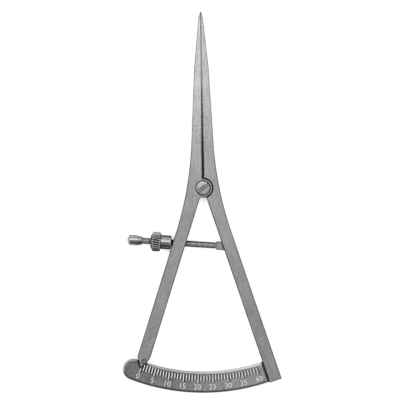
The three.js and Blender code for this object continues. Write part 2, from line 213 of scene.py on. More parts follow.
def math_node(tree, operation, *values):
    """A sum or other operation on numbers and sockets."""
    made = node(tree, "ShaderNodeMath", operation=operation)
    for socket, value in zip(made.inputs, values):
        feed(tree, socket, value)
    return made.outputs[0]


def ranged(tree, value, low, high, source=(0.0, 1.0), **settings):
    """A value of the source range spread from low to high; the bounds are numbers or sockets."""
    made = node(tree, "ShaderNodeMapRange", **settings)
    tree.links.new(value, made.inputs["Value"])
    labels = ("From Min", "From Max", "To Min", "To Max")
    for label, bound in zip(labels, (*source, low, high)):
        feed(tree, made.inputs[label], bound)
    return made.outputs["Result"]


def noise(tree, place, scale, detail=2.0, roughness=0.5, dimensions="3D"):
    """Uneven values from 0 to 1, with a scale per metre."""
    made = node(tree, "ShaderNodeTexNoise", noise_dimensions=dimensions)
    tree.links.new(place, made.inputs["W" if dimensions == "1D" else "Vector"])
    made.inputs["Detail"].default_value = detail
    made.inputs["Roughness"].default_value = roughness
    feed(tree, made.inputs["Scale"], scale)
    return made.outputs[0]


def tool_place(tree):
    """Where a point of the surface lies in the tool, in metres."""
    return node(tree, "ShaderNodeTexCoord").outputs["Object"]


def split(tree, vector):
    """The X, Y and Z of a vector."""
    parts = node(tree, "ShaderNodeSeparateXYZ")
    tree.links.new(vector, parts.inputs[0])
    return parts.outputs


# The lengthwise grinding follows the blade, then leans with the leg below the joint
def lengthwise_group():
    inputs = [("Leg Side", "NodeSocketFloat", 1.0), ("Leg Slope", "NodeSocketFloat", LEG_SLOPE)]
    tree, start, end = group("lengthwise direction", inputs, [("Vector", "NodeSocketVector")])
    parts = split(tree, tool_place(tree))
    below = math_node(tree, "MULTIPLY", parts["Y"], -1.0)
    below = math_node(tree, "SMOOTH_MAX", below, 0.0, KNEE_BLEND)
    lean = math_node(tree, "MULTIPLY", below, start.outputs["Leg Slope"])
    lean = math_node(tree, "MULTIPLY", lean, start.outputs["Leg Side"])
    across = math_node(tree, "SUBTRACT", parts["X"], lean)
    joined = node(tree, "ShaderNodeCombineXYZ")
    tree.links.new(across, joined.inputs["X"])
    tree.links.new(parts["Y"], joined.inputs["Y"])
    tree.links.new(parts["Z"], joined.inputs["Z"])
    tree.links.new(joined.outputs[0], end.inputs["Vector"])
    return tree


# Fine parallel scratches of a grinding belt, with a slow unevenness and a short even grain
def grinding_group():
    inputs = [
        ("Vector", "NodeSocketVector", None),
        ("Lines per Metre", "NodeSocketFloat", 5200.0),
        ("Stretch", "NodeSocketFloat", 0.022),
        ("Patch per Metre", "NodeSocketFloat", 160.0),
        ("Grain per Metre", "NodeSocketFloat", 1700.0),
    ]
    outputs = [("Lines", "NodeSocketFloat"), ("Patches", "NodeSocketFloat")]
    tree, start, end = group("belt grinding", inputs, outputs)
    stretch = node(tree, "ShaderNodeCombineXYZ")
    stretch.inputs["X"].default_value = 1.0
    stretch.inputs["Z"].default_value = 1.0
    tree.links.new(start.outputs["Stretch"], stretch.inputs["Y"])
    drawn = node(tree, "ShaderNodeVectorMath", operation="MULTIPLY")
    tree.links.new(start.outputs["Vector"], drawn.inputs[0])
    tree.links.new(stretch.outputs[0], drawn.inputs[1])
    place = start.outputs["Vector"]
    lines = noise(
        tree, drawn.outputs[0], start.outputs["Lines per Metre"], LINE_DETAIL, LINE_ROUGHNESS
    )
    patches = noise(tree, place, start.outputs["Patch per Metre"], PATCH_DETAIL)
    grain = noise(tree, place, start.outputs["Grain per Metre"], PATCH_DETAIL)
    uneven = math_node(tree, "MULTIPLY", patches, PATCH_SHARE)
    uneven = math_node(tree, "MULTIPLY_ADD", grain, GRAIN_SHARE, uneven)
    uneven = math_node(tree, "MULTIPLY_ADD", lines, LINE_SHARE, uneven)
    tree.links.new(lines, end.inputs["Lines"])
    tree.links.new(uneven, end.inputs["Patches"])
    return tree


# Masks for painted shade: a dark line beside each edge, and black where the surfaces around shut a
# point in
def corners_group():
    inputs = [
        ("Edge Width", "NodeSocketFloat", 0.00045),
        ("Reach", "NodeSocketFloat", 0.0007),
        ("Shut Share", "NodeSocketFloat", 0.4),
        ("Open Share", "NodeSocketFloat", 0.9),
    ]
    outputs = [("Edge", "NodeSocketFloat"), ("Crevice", "NodeSocketFloat")]
    tree, start, end = group("painted edge and crevice shade", inputs, outputs)
    rounded = node(tree, "ShaderNodeBevel", samples=EDGE_SAMPLES)
    tree.links.new(start.outputs["Edge Width"], rounded.inputs["Radius"])
    geometry = node(tree, "ShaderNodeNewGeometry")
    likeness = node(tree, "ShaderNodeVectorMath", operation="DOT_PRODUCT")
    tree.links.new(rounded.outputs["Normal"], likeness.inputs[0])
    tree.links.new(geometry.outputs["Normal"], likeness.inputs[1])
    edge = ranged(
        tree, likeness.outputs["Value"], 0.0, 1.0, EDGE_LIKENESS, interpolation_type="SMOOTHSTEP"
    )
    openness = node(tree, "ShaderNodeAmbientOcclusion", samples=CREVICE_SAMPLES)
    tree.links.new(start.outputs["Reach"], openness.inputs["Distance"])
    shares = (start.outputs["Open Share"], start.outputs["Shut Share"])
    crevice = ranged(tree, openness.outputs["AO"], 0.0, 1.0, shares)
    tree.links.new(edge, end.inputs["Edge"])
    tree.links.new(crevice, end.inputs["Crevice"])
    return tree


def shaded(tree, value, greys):
    """A colour between two greys, from noise, which lies mostly near the middle of 0 to 1."""
    ramp = node(tree, "ShaderNodeValToRGB")
    for stop, place, grey in zip(ramp.color_ramp.elements, RAMP_ENDS, greys):
        stop.color = (*grey, 1.0)
        stop.position = place
    tree.links.new(value, ramp.inputs[0])
    return ramp.outputs["Color"]


def graded(tree, colour, axis, ends, levels):
    """A colour, or white, times a level that changes along an axis from one place to another."""
    level = ranged(tree, split(tree, tool_place(tree))[axis], *levels, ends)
    scaled = node(tree, "ShaderNodeVectorMath", operation="SCALE")
    if colour is None:
        scaled.inputs[0].default_value = (1.0, 1.0, 1.0)
    else:
        tree.links.new(colour, scaled.inputs[0])
    tree.links.new(level, scaled.inputs["Scale"])
    return scaled.outputs[0]


def surface(name, metallic=1.0):
    """A new material, its nodes and its shader; it is metallic from 0 for paint to 1 for bare metal."""
    material = bpy.data.materials.new(name)
    material.use_nodes = True
    shader = material.node_tree.nodes["Principled BSDF"]
    shader.inputs["Metallic"].default_value = metallic
    return material, material.node_tree, shader


def scratched(tree, shader, height, relief, edge=None):
    """Fine relief; where a radius is given, sharp edges are shaded as rounded to it."""
    bump = node(tree, "ShaderNodeBump")
    if edge is not None:
        rounded = node(tree, "ShaderNodeBevel", samples=ROUNDING_SAMPLES)
        rounded.inputs["Radius"].default_value = edge
        tree.links.new(rounded.outputs["Normal"], bump.inputs["Normal"])
    bump.inputs["Strength"].default_value = relief
    bump.inputs["Distance"].default_value = SCRATCH_DEPTH
    tree.links.new(height, bump.inputs["Height"])
    tree.links.new(bump.outputs["Normal"], shader.inputs["Normal"])


lengthwise = lengthwise_group()
grinding = grinding_group()
corners = corners_group()


def darkened(tree, shader, colour, edge_share, plain=(), **values):
    """Base colour with painted shade: it darkens along edges and goes black in crevices.

    Around the plain spots, each a place and a radius, the edges keep the colour: pins and the
    screw sit there.
    """
    masks = placed(tree, corners, **values)
    edge = math_node(tree, "MULTIPLY", masks["Edge"], edge_share)
    for place, radius in plain:
        away = node(tree, "ShaderNodeVectorMath", operation="DISTANCE")
        tree.links.new(tool_place(tree), away.inputs[0])
        away.inputs[1].default_value = place
        beyond = math_node(tree, "GREATER_THAN", away.outputs["Value"], radius)
        edge = math_node(tree, "MULTIPLY", edge, beyond)
    # Painted shade: the colour goes towards black along edges and in crevices
    mix = node(tree, "ShaderNodeMix", data_type="RGBA")
    clean, black = mix.inputs[6:8]
    tree.links.new(math_node(tree, "MAXIMUM", edge, masks["Crevice"]), mix.inputs["Factor"])
    tree.links.new(colour, clean)
    black.default_value = PAINTED_SHADE_BLACK
    tree.links.new(mix.outputs[2], shader.inputs["Base Color"])


def satin_steel(name, leg_side, greys, roughness, edge_share=1.0, plain=(), blade=1.0):
    """Steel ground lengthwise; the blade's level is painted light, which sets it off a little from the
    leg.
    """
    material, tree, shader = surface(name, GROUND_METALLIC)
    direction = placed(tree, lengthwise, Leg_Side=leg_side)["Vector"]
    ground = placed(tree, grinding, Vector=direction)
    colour = shaded(tree, ground["Patches"], greys)
    # Painted light: the blade is brightened beyond the joint by its level
    colour = graded(tree, colour, "Y", BLADE_LIGHT_RUN, (1.0, blade))
    darkened(tree, shader, colour, edge_share, plain)
    tree.links.new(ranged(tree, ground["Lines"], *roughness), shader.inputs["Roughness"])
    scratched(tree, shader, ground["Lines"], GROUND_RELIEF, ARM_EDGE)
    return material


def plain_spot(source, surround):
    """The upper end of a pin or screw, and a radius that takes in what lies this far around it."""
    low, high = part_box(source)
    place = ((low.x + high.x) / 2, (low.y + high.y) / 2, high.z)
    return place, (high.x - low.x) / 2 + surround * MM


def steel_arm(source, name, body, leg_side, blade, spots):
    """An arm with its point rounded, its flats ground and its edges broken, and painted shade on its
    walls, rims, edges and crevices.
    """
    mesh = in_millimetres(source)
    round_tip(mesh, leg_side)
    walls_apart(mesh)
    piece = linked(name, mesh)
    plain = [plain_spot(*spot) for spot in spots]
    for material in (
        satin_steel(
            f"{name} ground faces", leg_side, ARM_GREYS, ARM_ROUGHNESS, plain=plain, blade=blade
        ),
        # The walls and rims take darker greys than the faces: painted shade
        satin_steel(f"{name} broken edges", leg_side, SHADED_EDGE_GREYS, EDGE_ROUGHNESS),
    ):
        piece.data.materials.append(material)
    settled(piece)
    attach(piece, body)
    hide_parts(source)


steel_arm("right_arm", "right_arm_steel", "right_side", RIGHT, RIGHT_BLADE_LIGHT, RIGHT_SPOTS)
steel_arm("left_arm", "left_arm_steel", "left_side", LEFT, LEFT_BLADE_LIGHT, LEFT_SPOTS)

# The curved scale: a thin steel plate with bevelled rims, milled about the joint, darker and duller
# than the arms. Its divisions are engraved, with a painted highlight on one flank and painted shade
# on the other, and its figures are cut shallow and filled pale.
READING = 40
MAJOR_STEP = 5
POINT_REACH = max(v.co.y for v in frame["nodes"]["left_arm"].data.vertices) / MM
scale_points = [v.co / MM for v in frame["nodes"]["scale_arc"].data.vertices]
SCALE_FACE = max(p.z for p in scale_points)
SCALE_ENDS = [bound(p.x for p in scale_points) * MM for bound in (min, max)]
SCALE_INNER = min(p.xy.length for p in scale_points)
leg_points = [v.co / MM for v in frame["nodes"]["left_arm"].data.vertices]
POINTER = max((p for p in leg_points if p.y < 0), key=lambda p: p.xy.length)
ZERO = math.atan2(POINTER.x, -POINTER.y)
TICK_START = 0.85
LATE_TICK_START = 1.25
LATE_READING = 7
TICK_SHORT_END = 3.35
TICK_LONG_END = 4.15
TICK_FLANKS = (0.31, 0.5)
TICK_DEPTH = 0.2
TICK_ASIDE = 0.4
FIGURE_CENTRE = 5.68
FIGURE_SIZE = 2.9
FIGURE_WEIGHT = 0.005
FIGURE_DEPTH = 0.05
FIGURE_STEPS = 3
HIGHLIGHT_FLANK_SLOT, SHADE_FLANK_SLOT, BEVEL_SLOT, OUTER_SLOT, FIGURE_SLOT = range(1, 6)
OUTWARD = 0.3
FACE_GREYS = ((0.24, 0.245, 0.25), (0.44, 0.445, 0.45))
LIT_BEVEL_GREYS = ((0.5, 0.505, 0.51), (0.62, 0.625, 0.63))
SHADED_OUTER_GREYS = ((0.12, 0.125, 0.13), (0.2, 0.205, 0.21))
FACE_EDGE_SHARE = 0.6
BEVEL_EDGE_SHARE = 0.5
OUTER_EDGE_SHARE = 0.9
SCALE_PAINTED_LIGHT = (0.8, 1.75)
SCALE_SHADE_MASKS = {"Edge_Width": 0.0004, "Reach": 0.0013, "Open_Share": 0.9, "Shut_Share": 0.7}
SCALE_PATCHES = 220.0
SCALE_ROUGHNESS = (0.34, 0.5)
SCALE_RELIEF = 0.2
PAINTED_HIGHLIGHT_FILL = (0.98, 0.75)
PAINTED_SHADE_FILL = (0.002, 0.1)
FIGURE_FILL = (0.72, 0.7)
FILL_ROUGHNESS = (0.45, 0.7)


def turn_for(reading):
    """The angle that the arms turn through for a reading in millimetres."""
    return 2 * math.asin(reading / (2 * POINT_REACH))


def on_scale(reading, radius, aside=0.0):
    """The place and turn of something that stands upright on the scale at a reading."""
    angle = ZERO + turn_for(reading) + aside / radius
    place = Vector((radius * math.sin(angle), -radius * math.cos(angle), SCALE_FACE))
    return Matrix.Translation(place) @ Matrix.Rotation(angle, 4, "Z")


def meshed(work, name):
    """A new mesh from mesh work, which ends."""
    mesh = bpy.data.meshes.new(name)
    work.to_mesh(mesh)
    work.free()
    return mesh


def groove_mesh(work, flanks, length, depth, place):
    """A cutter for a groove with two slanting sides, as a graver leaves it: one side painted as
    highlight, the other as shade.
    """
    left, right = flanks
    middle = (left - right) / 2
    section = [(middle - 2 * left, depth), (middle, -depth), (middle + 2 * right, depth)]
    near, far = [
        [work.verts.new(place @ Vector((x, end, z))) for x, z in section]
        for end in (-length / 2, length / 2)
    ]
    work.faces.new(near)
    work.faces.new(list(reversed(far)))
    for side in range(len(section)):
        after = (side + 1) % len(section)
        wall = work.faces.new((near[after], near[side], far[side], far[after]))
        wall.material_index = SHADE_FLANK_SLOT if side == 1 else HIGHLIGHT_FLANK_SLOT


def divisions():
    """All the divisions of the scale as one cutter."""
    work = bmesh.new()
    for reading in range(READING + 1):
        start = TICK_START if reading < LATE_READING else LATE_TICK_START
        end = TICK_SHORT_END if reading % MAJOR_STEP else TICK_LONG_END
        middle = SCALE_INNER + (start + end) / 2
        groove_mesh(work, TICK_FLANKS, end - start, TICK_DEPTH, on_scale(reading, middle, TICK_ASIDE))
    bmesh.ops.recalc_face_normals(work, faces=work.faces)
    return meshed(work, "divisions")


def figure(reading):
    """One number of the scale as a solid in its place."""
    words = bpy.data.curves.new(f"figure {reading}", "FONT")
    words.body = str(reading)
    words.size = FIGURE_SIZE
    words.align_x = "CENTER"
    words.align_y = "CENTER"
    words.extrude = FIGURE_DEPTH
    words.offset = FIGURE_WEIGHT
    words.resolution_u = FIGURE_STEPS
    shape = linked(words.name, words)
    graph = bpy.context.evaluated_depsgraph_get()
    mesh = bpy.data.meshes.new_from_object(shape.evaluated_get(graph))
    mesh.transform(on_scale(reading, SCALE_INNER + FIGURE_CENTRE))
    bpy.data.objects.remove(shape)
    return mesh


def figures():
    """All the numbers of the scale as one cutter."""
    work = bmesh.new()
    for reading in range(0, READING + 1, MAJOR_STEP):
        work.from_mesh(figure(reading))
    bmesh.ops.remove_doubles(work, verts=work.verts, dist=WELD)
    return meshed(work, "figures")


def carve(piece, name, mesh, cut_slot=None):
    """Cuts a mesh out of a piece; the cut takes one material, or those of the mesh's faces."""
    cutter = linked(name, mesh)
    for material in piece.data.materials:
        cutter.data.materials.append(material)
    if cut_slot is not None:
        for face in cutter.data.polygons:
            face.material_index = cut_slot
    carving = piece.modifiers.new(name, "BOOLEAN")
    carving.operation = "DIFFERENCE"
    carving.solver = "EXACT"
    carving.object = cutter
    return cutter


def scale_steel(name, greys, edge_share):
    """Dull steel without a direction, with painted light that brightens it towards the right end of the
    scale.
    """
    material, tree, shader = surface(name, GROUND_METALLIC)
    ground = placed(
        tree, grinding, Vector=tool_place(tree), Stretch=1.0, Patch_per_Metre=SCALE_PATCHES
    )
    colour = shaded(tree, ground["Patches"], greys)
    colour = graded(tree, colour, "X", SCALE_ENDS, SCALE_PAINTED_LIGHT)
    # Painted shade along the plate's edges and beside the leg and pointer that stand over it
    darkened(tree, shader, colour, edge_share, **SCALE_SHADE_MASKS)
    tree.links.new(ranged(tree, ground["Lines"], *SCALE_ROUGHNESS), shader.inputs["Roughness"])
    scratched(tree, shader, ground["Lines"], SCALE_RELIEF)
    return material


def fill(name, levels):
    """Matt fill in the cuts, with its level at the left and at the right end of the scale; on the
    division flanks it is painted highlight and painted shade, in the figures their pale fill.
    """
    material, tree, shader = surface(name, 0.0)
    shader.inputs["Specular IOR Level"].default_value = 0.0
    ground = placed(tree, grinding, Vector=tool_place(tree), Stretch=1.0)
    tree.links.new(graded(tree, None, "X", SCALE_ENDS, levels), shader.inputs["Base Color"])
    tree.links.new(ranged(tree, ground["Patches"], *FILL_ROUGHNESS), shader.inputs["Roughness"])
    return material


def outer_bevels_apart(mesh):
    """Gives the bevels that face away from the joint a material of their own, painted darker as shade.
    """
    for face in mesh.polygons:
        outward = face.normal.xy.dot(face.center.xy.normalized())
        if face.material_index != FACE_SLOT and outward > OUTWARD:
            face.material_index = OUTER_SLOT


scale = linked("scale_plate", in_millimetres("scale_arc"))
walls_apart(scale.data, BEVEL_SLOT)
outer_bevels_apart(scale.data)
for material in (
    scale_steel("scale plate face", FACE_GREYS, FACE_EDGE_SHARE),
    fill("painted highlight flanks", PAINTED_HIGHLIGHT_FILL),
    fill("painted shade flanks", PAINTED_SHADE_FILL),
    # The bevels are painted lighter as highlight, and those facing away from the joint darker as shade
    scale_steel("scale plate bevels with painted highlight", LIT_BEVEL_GREYS, BEVEL_EDGE_SHARE),
    scale_steel("scale plate outer bevel with painted shade", SHADED_OUTER_GREYS, OUTER_EDGE_SHARE),
    fill("figure fill", FIGURE_FILL),
):
    scale.data.materials.append(material)
cutters = [carve(scale, "divisions", divisions()), carve(scale, "figures", figures(), FIGURE_SLOT)]
settled(scale)
for cutter in cutters:
    bpy.data.objects.remove(cutter)
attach(scale, "right_side")
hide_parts("scale_arc")

# Three cross pins of steel, driven in and ground flush or peened: the rivet of the scale, the pin
# of the swivel block and the small headed pin of the fork, which keeps the scale from rubbing.
PIN_STEPS = 40
PIN_SWELL = 0.03
FLUSH_EDGE = 0.01
HEAD_EDGE = 0.06
PUNCH_RADIUS = 0.3
PUNCH_DEPTH = 0.32
RIM_STEPS = 2
FLAT_WEIGHT = 80
SHARP_ANGLE = math.radians(60)
RING_DETAIL = 2.0
STREAKS_PER_METRE = 700.0
FLUSH_GREYS = ((0.48, 0.49, 0.5), (0.56, 0.57, 0.58))
HEADED_GREYS = ((0.5, 0.51, 0.52), (0.6, 0.61, 0.62))
HEADED_ROUGHNESS = (0.3, 0.45)
# Painted shade along the headed pin's edges; all the pins also take painted shade in crevices
HEADED_SHADE_MASKS = {"edge_share": 0.8, "Edge_Width": 0.00025}


def round_edges(piece, width):
    """Rounds a piece's edges and shades it smooth, with its large flats flat and its corners sharp."""
    bevel = piece.modifiers.new("broken edges", "BEVEL")
    bevel.width = width
    bevel.segments = RIM_STEPS
    bevel.limit_method = "ANGLE"
    bevel.angle_limit = EDGE_ANGLE
    piece.data.shade_smooth()
    piece.data.set_sharp_from_angle(angle=SHARP_ANGLE)
    calm = piece.modifiers.new("level flats", "WEIGHTED_NORMAL")
    calm.weight = FLAT_WEIGHT
    calm.keep_sharp = True


# Rings left by a lathe round an axis along Z, and a slow streak
def turning_group():
    inputs = [("Vector", "NodeSocketVector", None), ("Rings per Metre", "NodeSocketFloat", 9000.0)]
    outputs = [("Rings", "NodeSocketFloat"), ("Streaks", "NodeSocketFloat")]
    tree, start, end = group("turning marks", inputs, outputs)
    parts = split(tree, start.outputs["Vector"])
    squares = math_node(tree, "MULTIPLY", parts["Y"], parts["Y"])
    squares = math_node(tree, "MULTIPLY_ADD", parts["X"], parts["X"], squares)
    radius = math_node(tree, "SQRT", squares)
    place = math_node(tree, "ADD", radius, parts["Z"])
    rings = noise(tree, place, start.outputs["Rings per Metre"], RING_DETAIL, dimensions="1D")
    tree.links.new(rings, end.inputs["Rings"])
    streaks = noise(tree, start.outputs["Vector"], STREAKS_PER_METRE)
    tree.links.new(streaks, end.inputs["Streaks"])
    return tree


turning = turning_group()


def turned_steel(name, place, greys, roughness, relief=0.2, edge_share=0.35, **masks):
    """Lathe-turned steel, with its rings round the axis of the place that is given."""
    material, tree, shader = surface(name)
    local = node(tree, "ShaderNodeMapping", vector_type="TEXTURE")
    local.inputs["Location"].default_value = place.to_translation()
    local.inputs["Rotation"].default_value = place.to_euler()
    tree.links.new(tool_place(tree), local.inputs["Vector"])
    marks = placed(tree, turning, Vector=local.outputs[0])
    darkened(tree, shader, shaded(tree, marks["Streaks"], greys), edge_share, **masks)
    tree.links.new(ranged(tree, marks["Rings"], *roughness), shader.inputs["Roughness"])
    scratched(tree, shader, marks["Rings"], relief)
    return material


def ring(radii, height):
    """Points around the axis at one height, one for each radius."""
    steps = len(radii)
    turns = [2 * math.pi * step / steps for step in range(steps)]
    return [(r * math.cos(t), r * math.sin(t), height) for r, t in zip(radii, turns)]


def skin(work, rings, cyclic):
    """Faces from each ring of corners to the next, and from the last to the first if cyclic."""
    following = rings[1:] + rings[:1] if cyclic else rings[1:]
    for lower, upper in zip(rings, following):
        steps = len(lower)
        for step in range(steps):
            after = (step + 1) % steps
            around = [lower[step], lower[after], upper[after], upper[step]]
            work.faces.new(list(dict.fromkeys(around)))


def turned_mesh(name, profile, steps, cyclic=False):
    """A form turned about Z from points of radius and height; points on the axis close it."""
    work = bmesh.new()
    rings = []
    for radius, height in profile:
        if radius == 0:
            rings.append([work.verts.new((0, 0, height))] * steps)
        else:
            rings.append([work.verts.new(point) for point in ring([radius] * steps, height)])
    skin(work, rings, cyclic)
    bmesh.ops.recalc_face_normals(work, faces=work.faces)
    return meshed(work, name)


def pin_size(source):
    """A pin's radius and upper end in millimetres, and its place."""
    low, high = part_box(source)
    place = Matrix.Translation(Vector(((low.x + high.x) / 2, (low.y + high.y) / 2, 0)))
    return (high.x - low.x) / 2 / MM, high.z / MM, place


def flush_pin(source, name, body):
    """A plain pin, spread in its hole by the driving, with a hair of rounding at both ends."""
    radius, top, place = pin_size(source)
    radius += PIN_SWELL
    profile = [(0, 0), (radius, 0), (radius, top), (0, top)]
    piece = linked(name, turned_mesh(name, profile, PIN_STEPS))
    round_edges(piece, FLUSH_EDGE)
    piece.data.materials.append(
        satin_steel(f"{name} steel", RIGHT, FLUSH_GREYS, ARM_ROUGHNESS, edge_share=0.0)
    )
    settled(piece, place)
    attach(piece, body)
    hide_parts(source)


def headed_pin(source, name, body):
    """A pin with a spread head at each end, and in it the pit that the punch left."""
    head, top, place = pin_size(source)
    neck = head / 2
    half = [(0, PUNCH_DEPTH), (PUNCH_RADIUS, HEAD_EDGE), (PUNCH_RADIUS + HEAD_EDGE, 0)]
    half += [(head - HEAD_EDGE, 0), (head, HEAD_EDGE), (neck, head - neck)]
    other = [(radius, top - height) for radius, height in reversed(half)]
    piece = linked(name, turned_mesh(name, half + other, PIN_STEPS))
    piece.data.shade_smooth()
    piece.data.set_sharp_from_angle(angle=EDGE_ANGLE)
    piece.data.materials.append(
        turned_steel(f"{name} steel", place, HEADED_GREYS, HEADED_ROUGHNESS, **HEADED_SHADE_MASKS)
    )
    settled(piece, place)
    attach(piece, body)
    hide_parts(source)


flush_pin("scale_rivet", "scale_rivet_steel", "right_side")
flush_pin("hinge_pin", "hinge_pin_steel", "right_side")
headed_pin("fork_pin", "fork_pin_steel", "left_side")

# The pivot screw: turned steel with a low domed head in the front boss, a plain shank and an end
# in the back boss, which is left without its thread. Its driver slot is milled across the polished
# head.
screw_points = [v.co / MM for v in frame["nodes"]["pivot_screw"].data.vertices]
HEAD_RADIUS = max(p.xy.length for p in screw_points)
HEAD_TOP = max(p.z for p in screw_points)
NEAR_RIM_SHARE = 0.99
SCREW_SEAT = min(p.z for p in screw_points if p.xy.length > HEAD_RADIUS * NEAR_RIM_SHARE)
SHANK_RADIUS = 1.5
TAIL_RADIUS = 1.3
TAIL_TOP = 2.02
SCREW_EDGE = 0.1
HEAD_DOME = 0.1
DOME_POWER = 3
DOME_SHARES = (0.93, 0.86, 0.78, 0.68, 0.54, 0.36, 0.18, 0)
DRIVER_SLOT = (7.0, 0.8, 0.5)
DRIVER_TURN = math.radians(33)
SCREW_STEPS = 96
SCREW_GREYS = ((0.56, 0.565, 0.57), (0.76, 0.765, 0.77))
SCREW_ROUGHNESS = (0.3, 0.44)
SCREW_RELIEF = 0.3
SCREW_SHADE_MASKS = {"edge_share": 1.0, "Edge_Width": 0.0004}
SHADED_SLOT_GREYS = ((0.5, 0.505, 0.51), (0.62, 0.625, 0.63))
SLOT_ROUGHNESS = (0.3, 0.5)
SLOT_SHADE_MASKS = {"edge_share": 1.0, "Edge_Width": 0.00015, "Open_Share": 0.62, "Shut_Share": 0.42}


def screw_profile():
    """Tail, shank, head and dome, from the axis and back to it."""
    rim = HEAD_TOP - HEAD_DOME
    outline = [(0, 0), (TAIL_RADIUS - SCREW_EDGE, 0), (TAIL_RADIUS, SCREW_EDGE)]
    outline += [(TAIL_RADIUS, TAIL_TOP), (SHANK_RADIUS, TAIL_TOP), (SHANK_RADIUS, SCREW_SEAT)]
    outline += [(HEAD_RADIUS, SCREW_SEAT), (HEAD_RADIUS, rim - SCREW_EDGE)]
    outline.append((HEAD_RADIUS - SCREW_EDGE, rim))
    for share in DOME_SHARES:
        outline.append((HEAD_RADIUS * share, rim + HEAD_DOME * (1 - share ** DOME_POWER)))
    return outline


def driver_slot():
    """A bar across the screw's head, which cuts the slot."""
    length, width, depth = DRIVER_SLOT
    place = Matrix.Rotation(DRIVER_TURN, 4, "Z") @ Matrix.Translation(Vector((0, 0, HEAD_TOP)))
    size = Matrix.Diagonal((length, width, 2 * depth, 1.0))
    work = bmesh.new()
    bmesh.ops.create_cube(work, size=1.0, matrix=place @ size)
    return meshed(work, "driver slot")


screw = linked("pivot_screw_steel", turned_mesh("pivot_screw_steel", screw_profile(), SCREW_STEPS))
# Painted shade: dark lines along the head's edges, and darker greys going to black in the driver slot
for material in (
    turned_steel(
        "pivot screw steel", Matrix.Identity(4), SCREW_GREYS, SCREW_ROUGHNESS, SCREW_RELIEF,
        **SCREW_SHADE_MASKS,
    ),
    turned_steel("driver slot painted shade", Matrix.Identity(4), SHADED_SLOT_GREYS, SLOT_ROUGHNESS, **SLOT_SHADE_MASKS),
):
    screw.data.materials.append(material)
slot_cutter = carve(screw, "driver slot", driver_slot(), cut_slot=1)
settled(screw)
bpy.data.objects.remove(slot_cutter)
screw.data.shade_smooth()
screw.data.set_sharp_from_angle(angle=EDGE_ANGLE)
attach(screw, "right_side")
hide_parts("pivot_screw")

# The spindle: a milled swivel block that swings on its pin in the right leg, a rod with a fine
# thread screwed into it, and a turned cap at the free end that keeps the nut on.
joints = {joint["name"]: joint for joint in frame["joints"]}
SPINDLE_START = Vector(joints["spindle_swing"]["pos_m"])
SPINDLE_LINE = -Vector(joints["nut_travel"]["axis"]).normalized()
PLAY = 0.05
THREAD_PITCH = 0.45
THREAD_DEPTH = 0.2
THREAD_SLOPE = 3.0
THREAD_CREST = 0.5
THREAD_SAMPLES = 8
THREAD_STEPS = 40
THREAD_ANGLE = 2 * EDGE_ANGLE
ROD_SPIGOT = 0.7
ROD_GREYS = ((0.66, 0.67, 0.68), (0.82, 0.83, 0.84))
ROD_ROUGHNESS = (0.16, 0.3)
# Painted shade: the turned pieces darken on their flanks, where the table and tool shut them in, and in
# the roots of thread and ridges
FLANK_SHADE_REACH = 0.02
ROD_SHADE_MASKS = {"edge_share": 0.0, "Reach": FLANK_SHADE_REACH, "Open_Share": 0.94, "Shut_Share": 0.4}
STEEP = 0.5
BLOCK_EDGE = 0.2
BLOCK_STEPS = 3
BLOCK_PROFILE = 0.5
# The block's rims take darker greys than its faces: painted shade
BLOCK_GREYS_SHADED_RIMS = (("faces", 0.5, 0.6), ("rims", 0.4, 0.5))
BLOCK_ROUGHNESS = (0.25, 0.4)
TURNED_STEPS = 72
TURNED_EDGE = 0.08
TURNED_GREYS = ((0.53, 0.535, 0.54), (0.64, 0.645, 0.65))
TURNED_ROUGHNESS = (0.12, 0.24)
TURNED_RELIEF = 0.3
TURNED_SHADE_MASKS = {"Reach": FLANK_SHADE_REACH, "Open_Share": 0.78, "Shut_Share": 0.56}
CAP_NECK_SHARE = 0.78
CAP_SWELL_SHARE = 0.55
CAP_SWELL_RUN = 1.15
CAP_TAPER = 2.3
CAP_SHOULDER = 0.95
CAP_CONE_START = 0.72
CAP_CONE_DROP = 0.2
CAP_NIB_RADIUS = 0.35
CAP_NIB_RUN = 0.08


def spindle_place():
    """Z runs along the spindle from its hinge, X points down through the tool."""
    along = SPINDLE_LINE
    down = Vector((0, 0, -1))
    side = along.cross(down)
    turn = Matrix((down, side, along)).transposed().to_4x4()
    return Matrix.Translation(SPINDLE_START) @ turn


SPINDLE = spindle_place()


def along_spindle(source):
    """A piece's start, end and largest radius along the spindle, in millimetres."""
    inverse = SPINDLE.inverted()
    points = [inverse @ v.co / MM for v in frame["nodes"][source].data.vertices]
    return (
        min(p.z for p in points),
        max(p.z for p in points),
        max(p.xy.length for p in points),
    )


def ringed_mesh(name, rows, cyclic=False):
    """A closed skin over rings of points: a face at each end, or the last ring meets the first."""
    work = bmesh.new()
    rings = [[work.verts.new(point) for point in row] for row in rows]
    skin(work, rings, cyclic)
    if not cyclic:
        work.faces.new(list(reversed(rings[0])))
        work.faces.new(rings[-1])
    bmesh.ops.recalc_face_normals(work, faces=work.faces)
    return meshed(work, name)


